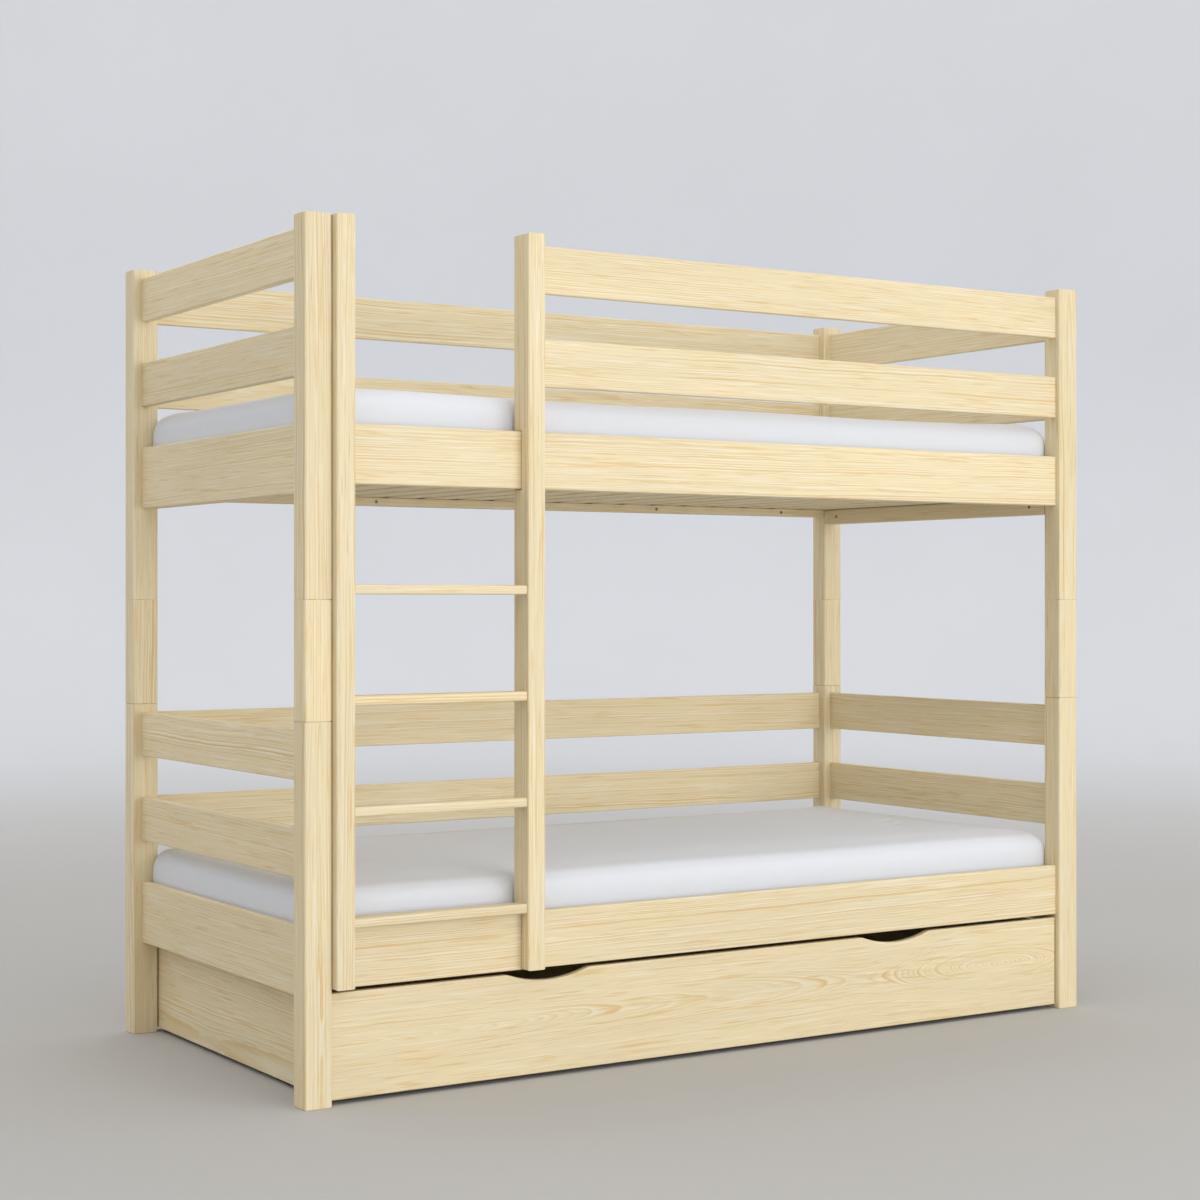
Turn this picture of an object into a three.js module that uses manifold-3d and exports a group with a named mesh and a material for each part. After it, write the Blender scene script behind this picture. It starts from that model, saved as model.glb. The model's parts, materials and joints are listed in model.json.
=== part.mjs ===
// Bunk bed in solid pine: two equal bed frames stacked on spacer blocks, a hook-on ladder,
// slat bases, two mattresses and a rolling under-bed drawer.
// Millimetres, +Z up, +X along the bed, -Y is the front. The origin is on the floor, under the
// middle of the whole piece (posts and ladder together).

import * as THREE from 'three';
import { mergeVertices } from 'three/addons/utils/BufferGeometryUtils.js';
import Module from 'manifold-3d';

const wasm = await Module();
wasm.setup();

// Clearance between pieces that touch
const JOINT_GAP = 0.3;

// Whole bed
const BED_LENGTH = 2080;
const BED_WIDTH = 972;

// Posts: a lower post, a spacer block and an upper post at each corner, located by dowels
const POST_X = 60;
const POST_Y = 54;
const POST_ROUND = 5;
const POST_END_ROUND = 1.5;
const POST_REVEAL = 20;
const SPACER_HEIGHT = 240;
const DOWEL_RADIUS = 7;
const DOWEL_REACH = 45;
const DOWEL_CLEARANCE = 0.4;

// Boards and rails, measured from the foot of a bed frame's own posts
const BOARD_THICKNESS = 19;
const BOARD_ROUND = 3;
const SIDE_INSET = 13;
const END_INSET = 21;
const RAIL_TOP = 350;
const SIDE_RAIL_HEIGHT = 120;
const END_RAIL_HEIGHT = 140;
const BOARD_HEIGHT = 100;
const BOARD_SPACING = 95;

// Ledges glued inside the rails, which carry the slats
const LEDGE_THICKNESS = 20;
const LEDGE_ROUND = 1.5;
const SIDE_LEDGE_HEIGHT = 20;
const GLUE_OVERLAP = 1;

// Slat base
const SLAT_COUNT = 20;
const SLAT_WIDTH = 70;
const SLAT_THICKNESS = 20;
const SLAT_END_CLEARANCE = 3;
const SLAT_FIELD_CLEARANCE = 5;
const TAPE_WIDTH = 30;
const TAPE_THICKNESS = 1.2;
const TAPE_INSET = 120;

// Mattresses
const MATTRESS_THICKNESS = 160;
const MATTRESS_EASE = 3;
const MATTRESS_POST_CLEARANCE = 2;
const MATTRESS_CORNER = 25;
const MATTRESS_EDGE = 18;

// Ladder
const STILE_WIDTH = 42;
const STILE_PROUD = 17;
const STILE_HOOK = 11;
const STILE_ROUND = 4;
const STILE_POST_CLEARANCE = 0.5;
const STILE_FOOT_RISE = 1.5;
const LADDER_CLEAR_WIDTH = 396;
const RUNG_COUNT = 4;
const RUNG_DEPTH = 40;
const RUNG_THICKNESS = 20;
const RUNG_SETBACK = 5;
const RUNG_ROUND = 4;

// Drawer
const DRAWER_END_CLEARANCE = 2.5;
const DRAWER_TOP_CLEARANCE = 8;
const DRAWER_FLOOR_CLEARANCE = 10;
const DRAWER_BACK_CLEARANCE = 22;
const DRAWER_FRONT_THICKNESS = 19;
const DRAWER_WALL = 16;
const DRAWER_WALL_DROP = 12;
const DRAWER_BOTTOM_THICKNESS = 8;
const GROOVE_DEPTH = 6;
const GROOVE_CLEARANCE = 0.4;
const PULL_SPREAD = 473;
const PULL_WIDTH = 200;
const PULL_DEPTH = 17;
const PULL_ROUND = 40;

// Drawer wheels
const WHEEL_RADIUS = 24;
const WHEEL_WIDTH = 18;
const WHEEL_HUB_WIDTH = 22;
const WHEEL_HUB_RADIUS = 9;
const WHEEL_WEB_WIDTH = 8;
const TYRE_DEPTH = 5;
const AXLE_RADIUS = 3;
const AXLE_CLEARANCE = 0.08;
const BRACKET_SHEET = 2.5;
const BRACKET_SIDE_CLEARANCE = 0.75;
const BRACKET_LENGTH = 34;
const BRACKET_TAIL = 7;
const WHEEL_INSET_X = 90;
const WHEEL_INSET_Y = 95;
const WHEEL_TOP_CLEARANCE = 5;

// Smoothness: straight steps in half of a rounded corner, in an eased edge and in a full turn
const CORNER_STEPS = 2;
const PULL_STEPS = 5;
const EDGE_STEPS = 3;
const POST_END_STEPS = 1;
const DOWEL_STEPS = 16;
const WHEEL_STEPS = 24;

// Worked out from the sizes above
const postHeight = RAIL_TOP + 2 * (BOARD_SPACING + BOARD_HEIGHT) + POST_REVEAL;
const upperFloor = postHeight + SPACER_HEIGHT;
const innerLength = BED_LENGTH - 2 * POST_X;
const innerWidth = BED_WIDTH - 2 * POST_Y;
const sideRailBottom = RAIL_TOP - SIDE_RAIL_HEIGHT;
const endRailBottom = RAIL_TOP - END_RAIL_HEIGHT;
const lowBoardBottom = RAIL_TOP + BOARD_SPACING;
const topBoardBottom = lowBoardBottom + BOARD_HEIGHT + BOARD_SPACING;
const seatLength = BED_LENGTH - 2 * (END_INSET + BOARD_THICKNESS);
const seatWidth = BED_WIDTH - 2 * (SIDE_INSET + BOARD_THICKNESS);
const railInnerX = END_INSET + BOARD_THICKNESS;
const railInnerY = SIDE_INSET + BOARD_THICKNESS;
const seatHeight = sideRailBottom + SIDE_LEDGE_HEIGHT;
const stileBack = railInnerY + STILE_HOOK;

const pine = { color: 0xecd9ac, roughness: 0.55, metalness: 0 };
const palePine = { color: 0xe6d2a4, roughness: 0.65, metalness: 0 };
const fabric = { color: 0xe9eaec, roughness: 0.95, metalness: 0 };
const birchPly = { color: 0xdcc79b, roughness: 0.7, metalness: 0 };
const blackPlastic = { color: 0x26272a, roughness: 0.5, metalness: 0 };
const zincSteel = { color: 0xb9bcc0, roughness: 0.4, metalness: 0.9 };

// A closed outline through corners [x, y, radius], with each corner rounded by an arc.
function outline(corners) {
  const shape = new THREE.Shape();
  const points = corners.map(([x, y]) => new THREE.Vector2(x, y));
  corners.forEach(([x, y, radius = 0], i) => {
    const corner = points[i];
    const back = points[(i + points.length - 1) % points.length].clone().sub(corner).normalize();
    const ahead = points[(i + 1) % points.length].clone().sub(corner).normalize();
    const halfAngle = Math.acos(THREE.MathUtils.clamp(back.dot(ahead), -1, 1)) / 2;
    const inward = back.clone().add(ahead).normalize();
    const centre = corner.clone().addScaledVector(inward, radius / Math.sin(halfAngle));
    const reach = radius / Math.tan(halfAngle);
    const from = corner.clone().addScaledVector(back, reach);
    const to = corner.clone().addScaledVector(ahead, reach);
    if (i === 0) {
      shape.moveTo(from.x, from.y);
    } else {
      shape.lineTo(from.x, from.y);
    }
    if (radius > 0) {
      const turnsRight = back.cross(ahead) > 0;
      const startAngle = Math.atan2(from.y - centre.y, from.x - centre.x);
      const endAngle = Math.atan2(to.y - centre.y, to.x - centre.x);
      shape.absarc(centre.x, centre.y, radius, startAngle, endAngle, turnsRight);
    }
  });
  shape.closePath();
  return shape;
}

function rectangle(width, height, radius) {
  return outline([
    [0, 0, radius],
    [width, 0, radius],
    [width, height, radius],
    [0, height, radius],
  ]);
}

// Turns a shape's (x, y) and its thickness into the part's axes:
// along x the shape lies in (Y, Z), along y in (X, Z), along z in (X, Y).
const AXIS_TURNS = {
  x: new THREE.Matrix4().makeBasis(
    new THREE.Vector3(0, 1, 0), new THREE.Vector3(0, 0, 1), new THREE.Vector3(1, 0, 0)),
  y: new THREE.Matrix4().makeBasis(
    new THREE.Vector3(1, 0, 0), new THREE.Vector3(0, 0, 1), new THREE.Vector3(0, -1, 0)),
  z: new THREE.Matrix4(),
};

// The shape given a thickness along one axis, with both faces' edges rounded by edgeRound.
function extruded(shape, thickness, along, edgeRound = 0, steps = {}) {
  const geometry = new THREE.ExtrudeGeometry(shape, {
    depth: thickness - 2 * edgeRound,
    curveSegments: steps.corner ?? CORNER_STEPS,
    bevelEnabled: edgeRound > 0,
    bevelThickness: edgeRound,
    bevelSize: edgeRound,
    bevelOffset: -edgeRound,
    bevelSegments: steps.edge ?? EDGE_STEPS,
  });
  geometry.translate(0, 0, along === 'y' ? edgeRound - thickness : edgeRound);
  return geometry.applyMatrix4(AXIS_TURNS[along]);
}

// A straight bar with its long edges rounded and its ends left square.
function bar(sizeX, sizeY, sizeZ, along, round) {
  const section = {
    x: () => rectangle(sizeY, sizeZ, round),
    y: () => rectangle(sizeX, sizeZ, round),
    z: () => rectangle(sizeX, sizeY, round),
  }[along]();
  const length = { x: sizeX, y: sizeY, z: sizeZ }[along];
  return extruded(section, length, along);
}

// An upright cylinder from its bottom centre.
function peg(radius, height) {
  return new THREE.CylinderGeometry(radius, radius, height, DOWEL_STEPS)
    .rotateX(Math.PI / 2)
    .translate(0, 0, height / 2);
}

function solid(geometry) {
  const bare = geometry.clone();
  bare.deleteAttribute('normal');
  bare.deleteAttribute('uv');
  const merged = mergeVertices(bare, 1e-3);
  return new wasm.Manifold(new wasm.Mesh({
    numProp: 3,
    vertProperties: merged.attributes.position.array,
    triVerts: new Uint32Array(merged.index.array),
  }));
}

function geometryOf(manifold) {
  const mesh = manifold.getMesh();
  const geometry = new THREE.BufferGeometry();
  geometry.setAttribute('position', new THREE.BufferAttribute(mesh.vertProperties, mesh.numProp));
  geometry.setIndex(new THREE.BufferAttribute(mesh.triVerts, 1));
  geometry.computeVertexNormals();
  return geometry;
}

function joined(first, ...others) {
  return geometryOf(others.reduce((whole, other) => whole.add(solid(other)), solid(first)));
}

function cut(body, ...tools) {
  return geometryOf(tools.reduce((rest, tool) => rest.subtract(solid(tool)), solid(body)));
}

function place(group, name, geometry, finish, x, y, z) {
  const mesh = new THREE.Mesh(geometry, new THREE.MeshStandardMaterial(finish));
  mesh.name = name;
  mesh.position.set(x, y, z);
  group.add(mesh);
}

// The four corners of the bed as seen from the front, with the outer corner of each post.
const CORNERS = [
  { name: 'front_left', x: 0, y: 0 },
  { name: 'front_right', x: BED_LENGTH - POST_X, y: 0 },
  { name: 'back_left', x: 0, y: BED_WIDTH - POST_Y },
  { name: 'back_right', x: BED_LENGTH - POST_X, y: BED_WIDTH - POST_Y },
];

function postBar(height) {
  const section = rectangle(POST_X, POST_Y, POST_ROUND);
  return extruded(section, height - JOINT_GAP, 'z', POST_END_ROUND, { edge: POST_END_STEPS });
}

function dowelHole(z) {
  const reach = DOWEL_REACH + DOWEL_CLEARANCE;
  return peg(DOWEL_RADIUS + DOWEL_CLEARANCE, reach + JOINT_GAP).translate(POST_X / 2, POST_Y / 2, z);
}

function dowel(z) {
  return peg(DOWEL_RADIUS, DOWEL_REACH + POST_END_ROUND).translate(POST_X / 2, POST_Y / 2, z);
}

function makePosts(bed) {
  const spacerHeight = SPACER_HEIGHT - JOINT_GAP;
  const holeDepth = DOWEL_REACH + DOWEL_CLEARANCE;
  for (const { name, x, y } of CORNERS) {
    const lower = cut(postBar(postHeight), dowelHole(postHeight - JOINT_GAP - holeDepth));
    const spacer = joined(
      postBar(SPACER_HEIGHT),
      dowel(-DOWEL_REACH),
      dowel(spacerHeight - POST_END_ROUND),
    );
    const upper = cut(postBar(postHeight), dowelHole(-JOINT_GAP));
    place(bed, `lower_post_${name}`, lower, pine, x, y, 0);
    place(bed, `spacer_post_${name}`, spacer, pine, x, y, postHeight);
    place(bed, `upper_post_${name}`, upper, pine, x, y, upperFloor);
  }
}

// A side rail from its left end's outer lower corner, with the slat ledge glued inside it, flush
// with its lower edge. The ledge stops short of the end ledges where they reach past the posts.
function sideRail() {
  const length = innerLength - 2 * JOINT_GAP;
  const shortening = Math.max(0, railInnerX + LEDGE_THICKNESS - POST_X);
  const board = bar(length, BOARD_THICKNESS, SIDE_RAIL_HEIGHT, 'x', BOARD_ROUND);
  const ledge = bar(length - 2 * shortening, LEDGE_THICKNESS + GLUE_OVERLAP, SIDE_LEDGE_HEIGHT,
    'x', LEDGE_ROUND);
  return joined(board, ledge.translate(shortening, BOARD_THICKNESS - GLUE_OVERLAP, 0));
}

// The same for an end rail, from its front end.
function endRail() {
  const length = innerWidth - 2 * JOINT_GAP;
  const board = bar(BOARD_THICKNESS, length, END_RAIL_HEIGHT, 'y', BOARD_ROUND);
  const ledge = bar(LEDGE_THICKNESS + GLUE_OVERLAP, length, seatHeight - endRailBottom,
    'y', LEDGE_ROUND);
  return joined(board, ledge.translate(BOARD_THICKNESS - GLUE_OVERLAP, 0, 0));
}

// One bed frame's boards: rails all round, two boards along the back and two at each end.
function makeFrameBoards(bed, level, z) {
  const sideX = POST_X + JOINT_GAP;
  const endY = POST_Y + JOINT_GAP;
  const sideLength = innerLength - 2 * JOINT_GAP;
  const endLength = innerWidth - 2 * JOINT_GAP;
  const backY = BED_WIDTH - SIDE_INSET - BOARD_THICKNESS;
  const rightX = BED_LENGTH - END_INSET - BOARD_THICKNESS;

  place(bed, `${level}_front_rail`, sideRail(), pine, sideX, SIDE_INSET, z + sideRailBottom);
  const backRail = sideRail().translate(-sideLength / 2, 0, 0).rotateZ(Math.PI);
  place(bed, `${level}_back_rail`, backRail, pine,
    sideX + sideLength / 2, BED_WIDTH - SIDE_INSET, z + sideRailBottom);

  place(bed, `${level}_left_rail`, endRail(), pine, END_INSET, endY, z + endRailBottom);
  const rightRail = endRail().translate(0, -endLength / 2, 0).rotateZ(Math.PI);
  place(bed, `${level}_right_rail`, rightRail, pine,
    BED_LENGTH - END_INSET, endY + endLength / 2, z + endRailBottom);

  const rows = [
    { name: 'low', bottom: z + lowBoardBottom },
    { name: 'top', bottom: z + topBoardBottom },
  ];
  for (const { name, bottom } of rows) {
    const backBoard = bar(sideLength, BOARD_THICKNESS, BOARD_HEIGHT, 'x', BOARD_ROUND);
    place(bed, `${level}_back_board_${name}`, backBoard, pine, sideX, backY, bottom);
    for (const [side, x] of [['left', END_INSET], ['right', rightX]]) {
      const endBoard = bar(BOARD_THICKNESS, endLength, BOARD_HEIGHT, 'y', BOARD_ROUND);
      place(bed, `${level}_${side}_board_${name}`, endBoard, pine, x, endY, bottom);
    }
  }
}

// Slats laid across the bed on the ledges, kept apart by two webbing tapes stapled on top.
function slatBaseGeometry() {
  const field = Math.min(seatLength, innerLength) - 2 * SLAT_FIELD_CLEARANCE;
  const pitch = (field - SLAT_WIDTH) / (SLAT_COUNT - 1);
  const length = seatWidth - 2 * SLAT_END_CLEARANCE;
  const slats = Array.from({ length: SLAT_COUNT }, (_, i) =>
    new THREE.BoxGeometry(SLAT_WIDTH, length, SLAT_THICKNESS - TAPE_THICKNESS)
      .translate(i * pitch - (field - SLAT_WIDTH) / 2, 0, (SLAT_THICKNESS - TAPE_THICKNESS) / 2));
  const tapeOverlap = 0.2;
  const tapes = [-1, 1].map((side) =>
    new THREE.BoxGeometry(field - SLAT_WIDTH / 2, TAPE_WIDTH, TAPE_THICKNESS + tapeOverlap)
      .translate(0, side * (length / 2 - TAPE_INSET), SLAT_THICKNESS - (TAPE_THICKNESS + tapeOverlap) / 2));
  return joined(...slats, ...tapes);
}

function makeSlatBase(bed, level, z) {
  place(bed, `${level}_slat_base`, slatBaseGeometry(), palePine,
    BED_LENGTH / 2, BED_WIDTH / 2, z + seatHeight + JOINT_GAP);
}

// The mattress lies clear of the ladder's hooks, and its corners are pressed in round the posts
// that stand inside the rails.
function makeMattress(bed, level, z) {
  const x = railInnerX + MATTRESS_EASE;
  const y = stileBack + MATTRESS_EASE;
  const length = BED_LENGTH - 2 * x;
  const width = BED_WIDTH - railInnerY - MATTRESS_EASE - y;
  const plan = rectangle(length, width, MATTRESS_CORNER);
  const block = extruded(plan, MATTRESS_THICKNESS, 'z', MATTRESS_EDGE);
  const postSpaces = CORNERS.map((post) => new THREE.BoxGeometry(
    POST_X + 2 * MATTRESS_POST_CLEARANCE,
    POST_Y + 2 * MATTRESS_POST_CLEARANCE,
    2 * MATTRESS_THICKNESS,
  ).translate(post.x + POST_X / 2 - x, post.y + POST_Y / 2 - y, MATTRESS_THICKNESS / 2));
  place(bed, `${level}_mattress`, cut(block, ...postSpaces), fabric,
    x, y, z + seatHeight + SLAT_THICKNESS + 2 * JOINT_GAP);
}

// Places along X of the two ladder stiles' left faces.
const stileLeftX = POST_X + STILE_POST_CLEARANCE;
const stileRightX = stileLeftX + STILE_WIDTH + LADDER_CLEAR_WIDTH;

// Two boards along the front of the upper bed, from the ladder's right stile to the right post.
function makeGuardBoards(bed) {
  const x = stileRightX + STILE_WIDTH + JOINT_GAP;
  const length = BED_LENGTH - POST_X - JOINT_GAP - x;
  const rows = [['low', lowBoardBottom], ['top', topBoardBottom]];
  for (const [name, bottom] of rows) {
    const board = bar(length, BOARD_THICKNESS, BOARD_HEIGHT, 'x', BOARD_ROUND);
    place(bed, `upper_guard_board_${name}`, board, pine, x, SIDE_INSET, upperFloor + bottom);
  }
}

// A stile seen from its side: full depth above, between and below the rails, notched from
// behind to hook over the upper rail, and thinned in front of the lower rail.
function stileGeometry() {
  const front = -STILE_PROUD;
  const railFace = SIDE_INSET - JOINT_GAP;
  const foot = sideRailBottom + STILE_FOOT_RISE;
  const top = upperFloor + postHeight - JOINT_GAP;
  const side = outline([
    [front, foot],
    [railFace, foot],
    [railFace, RAIL_TOP + JOINT_GAP],
    [stileBack, RAIL_TOP + JOINT_GAP],
    [stileBack, upperFloor + sideRailBottom - JOINT_GAP],
    [railFace, upperFloor + sideRailBottom - JOINT_GAP],
    [railFace, upperFloor + RAIL_TOP + JOINT_GAP],
    [stileBack, upperFloor + RAIL_TOP + JOINT_GAP],
    [stileBack, top],
    [front, top],
  ]);
  return extruded(side, STILE_WIDTH, 'x', STILE_ROUND);
}

function makeLadder(bed) {
  const ladder = new THREE.Group();
  place(ladder, 'ladder_stile_left', stileGeometry(), pine, stileLeftX, 0, 0);
  place(ladder, 'ladder_stile_right', stileGeometry(), pine, stileRightX, 0, 0);
  // Rungs rise in equal steps from the lower rail's top to the upper rail's underside.
  const climb = upperFloor + sideRailBottom - RAIL_TOP;
  for (let i = 0; i < RUNG_COUNT; i += 1) {
    const rung = bar(LADDER_CLEAR_WIDTH - 2 * JOINT_GAP, RUNG_DEPTH, RUNG_THICKNESS, 'x', RUNG_ROUND);
    place(ladder, `ladder_rung_${i + 1}`, rung, pine,
      stileLeftX + STILE_WIDTH + JOINT_GAP,
      RUNG_SETBACK - STILE_PROUD,
      RAIL_TOP + (i * climb) / RUNG_COUNT);
  }
  bed.add(ladder);
}

// The drawer front with two scooped pulls in its top edge.
function drawerFrontGeometry(width, height) {
  // A pull is an arc scooped out of the top edge; rounding its shoulders takes some of the arc.
  const half = PULL_WIDTH / 2;
  const fullRadius = (half ** 2 + PULL_DEPTH ** 2) / (2 * PULL_DEPTH);
  const slope = Math.asin(half / fullRadius);
  const shoulder = PULL_ROUND * Math.tan(slope / 2);
  const scoopRadius = fullRadius * (1 - (shoulder * Math.cos(slope)) / half);
  const pull = (centre) => [
    [centre + half, height, PULL_ROUND],
    [centre, height - half * Math.tan(slope), scoopRadius],
    [centre - half, height, PULL_ROUND],
  ];
  const face = outline([
    [0, 0],
    [width, 0],
    [width, height],
    ...pull(width / 2 + PULL_SPREAD),
    ...pull(width / 2 - PULL_SPREAD),
    [0, height],
  ]);
  return extruded(face, DRAWER_FRONT_THICKNESS, 'y', BOARD_ROUND, { corner: PULL_STEPS });
}

// A side wall with a groove for the bottom panel in its inner face, at the section's right.
function drawerSideSection(height, grooveBottom, grooveTop) {
  return outline([
    [0, 0],
    [DRAWER_WALL, 0],
    [DRAWER_WALL, grooveBottom],
    [DRAWER_WALL - GROOVE_DEPTH, grooveBottom],
    [DRAWER_WALL - GROOVE_DEPTH, grooveTop],
    [DRAWER_WALL, grooveTop],
    [DRAWER_WALL, height, LEDGE_ROUND],
    [0, height, LEDGE_ROUND],
  ]);
}

function wheelGeometry() {
  const bore = AXLE_RADIUS + AXLE_CLEARANCE;
  const rim = WHEEL_RADIUS - TYRE_DEPTH;
  const half = WHEEL_WIDTH / 2;
  const hubHalf = WHEEL_HUB_WIDTH / 2;
  const webHalf = WHEEL_WEB_WIDTH / 2;
  const profile = [
    [bore, -hubHalf],
    [WHEEL_HUB_RADIUS, -hubHalf],
    [WHEEL_HUB_RADIUS, -webHalf],
    [rim, -webHalf],
    [rim, -half],
    [WHEEL_RADIUS - 1, -half],
    [WHEEL_RADIUS, 1 - half],
    [WHEEL_RADIUS, half - 1],
    [WHEEL_RADIUS - 1, half],
    [rim, half],
    [rim, webHalf],
    [WHEEL_HUB_RADIUS, webHalf],
    [WHEEL_HUB_RADIUS, hubHalf],
    [bore, hubHalf],
    [bore, -hubHalf],
  ].map(([radius, y]) => new THREE.Vector2(radius, y));
  return new THREE.LatheGeometry(profile, WHEEL_STEPS).rotateZ(-Math.PI / 2);
}

// A folded steel bracket, open at the bottom, with the wheel's axle riveted across it.
// Drawn with the axle at the origin; top is the height of its plate above the axle.
function bracketGeometry(top) {
  const inner = WHEEL_HUB_WIDTH / 2 + BRACKET_SIDE_CLEARANCE;
  const outer = inner + BRACKET_SHEET;
  const fold = outline([
    [-outer, -BRACKET_TAIL],
    [-inner, -BRACKET_TAIL],
    [-inner, top - BRACKET_SHEET],
    [inner, top - BRACKET_SHEET],
    [inner, -BRACKET_TAIL],
    [outer, -BRACKET_TAIL],
    [outer, top, BRACKET_SHEET],
    [-outer, top, BRACKET_SHEET],
  ]);
  const sheet = extruded(fold, BRACKET_LENGTH, 'y').translate(0, -BRACKET_LENGTH / 2, 0);
  const axle = new THREE.CylinderGeometry(AXLE_RADIUS, AXLE_RADIUS, 2 * outer, WHEEL_STEPS)
    .rotateZ(-Math.PI / 2);
  return joined(sheet, axle);
}

function makeDrawer(bed) {
  const drawer = new THREE.Group();
  const width = innerLength - 2 * DRAWER_END_CLEARANCE;
  const frontHeight = sideRailBottom - DRAWER_TOP_CLEARANCE - DRAWER_FLOOR_CLEARANCE;
  const depth = BED_WIDTH - SIDE_INSET - DRAWER_BACK_CLEARANCE;
  const wallHeight = frontHeight - DRAWER_WALL_DROP;
  const wallY = DRAWER_FRONT_THICKNESS + JOINT_GAP;
  const wallLength = depth - wallY;
  const axleZ = WHEEL_RADIUS - DRAWER_FLOOR_CLEARANCE;
  const bracketTop = WHEEL_RADIUS + WHEEL_TOP_CLEARANCE + BRACKET_SHEET;
  const panelBottom = axleZ + bracketTop + JOINT_GAP;
  const grooveBottom = panelBottom - GROOVE_CLEARANCE;
  const grooveTop = grooveBottom + DRAWER_BOTTOM_THICKNESS + 2 * GROOVE_CLEARANCE;
  const section = drawerSideSection(wallHeight, grooveBottom, grooveTop);

  place(drawer, 'drawer_front', drawerFrontGeometry(width, frontHeight), pine, 0, 0, 0);
  place(drawer, 'drawer_left_side', extruded(section, wallLength, 'y'), palePine, 0, wallY, 0);
  const rightSide = extruded(section, wallLength, 'y')
    .translate(0, -wallLength / 2, 0)
    .rotateZ(Math.PI);
  place(drawer, 'drawer_right_side', rightSide, palePine, width, wallY + wallLength / 2, 0);

  const backLength = width - 2 * (DRAWER_WALL + JOINT_GAP);
  const back = bar(backLength, DRAWER_WALL, wallHeight, 'x', LEDGE_ROUND);
  place(drawer, 'drawer_back', back, palePine,
    DRAWER_WALL + JOINT_GAP, depth - DRAWER_WALL, 0);

  const bottomWidth = width - 2 * (DRAWER_WALL - GROOVE_DEPTH + GROOVE_CLEARANCE);
  const bottomLength = depth - DRAWER_WALL - JOINT_GAP - wallY;
  const bottom = new THREE.BoxGeometry(bottomWidth, bottomLength, DRAWER_BOTTOM_THICKNESS)
    .translate(bottomWidth / 2, bottomLength / 2, DRAWER_BOTTOM_THICKNESS / 2);
  place(drawer, 'drawer_bottom', bottom, birchPly,
    (width - bottomWidth) / 2, wallY, panelBottom);

  const wheelPlaces = [
    ['front_left', WHEEL_INSET_X, WHEEL_INSET_Y],
    ['front_right', width - WHEEL_INSET_X, WHEEL_INSET_Y],
    ['back_left', WHEEL_INSET_X, depth - WHEEL_INSET_Y],
    ['back_right', width - WHEEL_INSET_X, depth - WHEEL_INSET_Y],
  ];
  for (const [name, x, y] of wheelPlaces) {
    place(drawer, `wheel_bracket_${name}`, bracketGeometry(bracketTop), zincSteel, x, y, axleZ);
    place(drawer, `drawer_wheel_${name}`, wheelGeometry(), blackPlastic, x, y, axleZ);
  }

  drawer.position.set(POST_X + DRAWER_END_CLEARANCE, SIDE_INSET, DRAWER_FLOOR_CLEARANCE);
  bed.add(drawer);
}

function makeBunkBed() {
  const bed = new THREE.Group();
  makePosts(bed);
  for (const [level, z] of [['lower', 0], ['upper', upperFloor]]) {
    makeFrameBoards(bed, level, z);
    makeSlatBase(bed, level, z);
    makeMattress(bed, level, z);
  }
  makeGuardBoards(bed);
  makeLadder(bed);
  makeDrawer(bed);
  bed.position.set(-BED_LENGTH / 2, (STILE_PROUD - BED_WIDTH) / 2, 0);
  return new THREE.Group().add(bed);
}

export default makeBunkBed();
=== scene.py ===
"""Bunk bed in solid pine: the finish of every board, the slat bases, the mattresses, the drawer
and a plain studio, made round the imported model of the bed. Metres, +Z up, -Y is the front."""

import json
import math
import random

import bmesh
import bpy
import numpy as np
from bpy.props import (
    FloatProperty,
    FloatVectorProperty,
    IntProperty,
    PointerProperty,
)
from bpy.types import NodeSocket, Operator, Panel, PropertyGroup
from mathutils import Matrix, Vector

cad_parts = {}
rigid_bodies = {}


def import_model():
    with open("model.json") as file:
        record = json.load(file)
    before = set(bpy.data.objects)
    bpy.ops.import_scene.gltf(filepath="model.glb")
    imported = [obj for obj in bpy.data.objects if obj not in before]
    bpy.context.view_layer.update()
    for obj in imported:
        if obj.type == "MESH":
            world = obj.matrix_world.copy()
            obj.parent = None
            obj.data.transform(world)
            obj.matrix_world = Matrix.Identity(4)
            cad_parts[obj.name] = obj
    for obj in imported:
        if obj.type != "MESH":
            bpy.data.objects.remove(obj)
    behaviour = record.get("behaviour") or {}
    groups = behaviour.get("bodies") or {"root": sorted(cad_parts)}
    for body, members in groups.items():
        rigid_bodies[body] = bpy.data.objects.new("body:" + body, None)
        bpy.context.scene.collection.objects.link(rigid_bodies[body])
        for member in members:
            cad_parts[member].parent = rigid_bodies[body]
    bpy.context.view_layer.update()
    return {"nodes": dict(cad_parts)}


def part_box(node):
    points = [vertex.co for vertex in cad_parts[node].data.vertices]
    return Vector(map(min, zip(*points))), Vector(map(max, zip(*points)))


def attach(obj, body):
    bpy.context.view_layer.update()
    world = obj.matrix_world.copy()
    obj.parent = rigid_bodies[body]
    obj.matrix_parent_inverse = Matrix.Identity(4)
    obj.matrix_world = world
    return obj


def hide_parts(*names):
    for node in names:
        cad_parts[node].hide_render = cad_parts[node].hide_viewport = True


bl_info = {
    "name": "Pine bunk bed",
    "version": (1, 0, 0),
    "blender": (4, 5, 0),
    "location": "View3D > Sidebar > Bunk bed",
    "description": "Finishes a pine bunk bed: boards, slat bases, mattresses, ladder and drawer",
    "category": "Object",
}

for leftover in list(bpy.data.objects):
    bpy.data.objects.remove(leftover)
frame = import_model()

MM = 0.001
LEVELS = ("lower", "upper")
CORNERS = ("front_left", "front_right", "back_left", "back_right")
RAIL_SIDES = ("front", "back", "left", "right")

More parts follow.
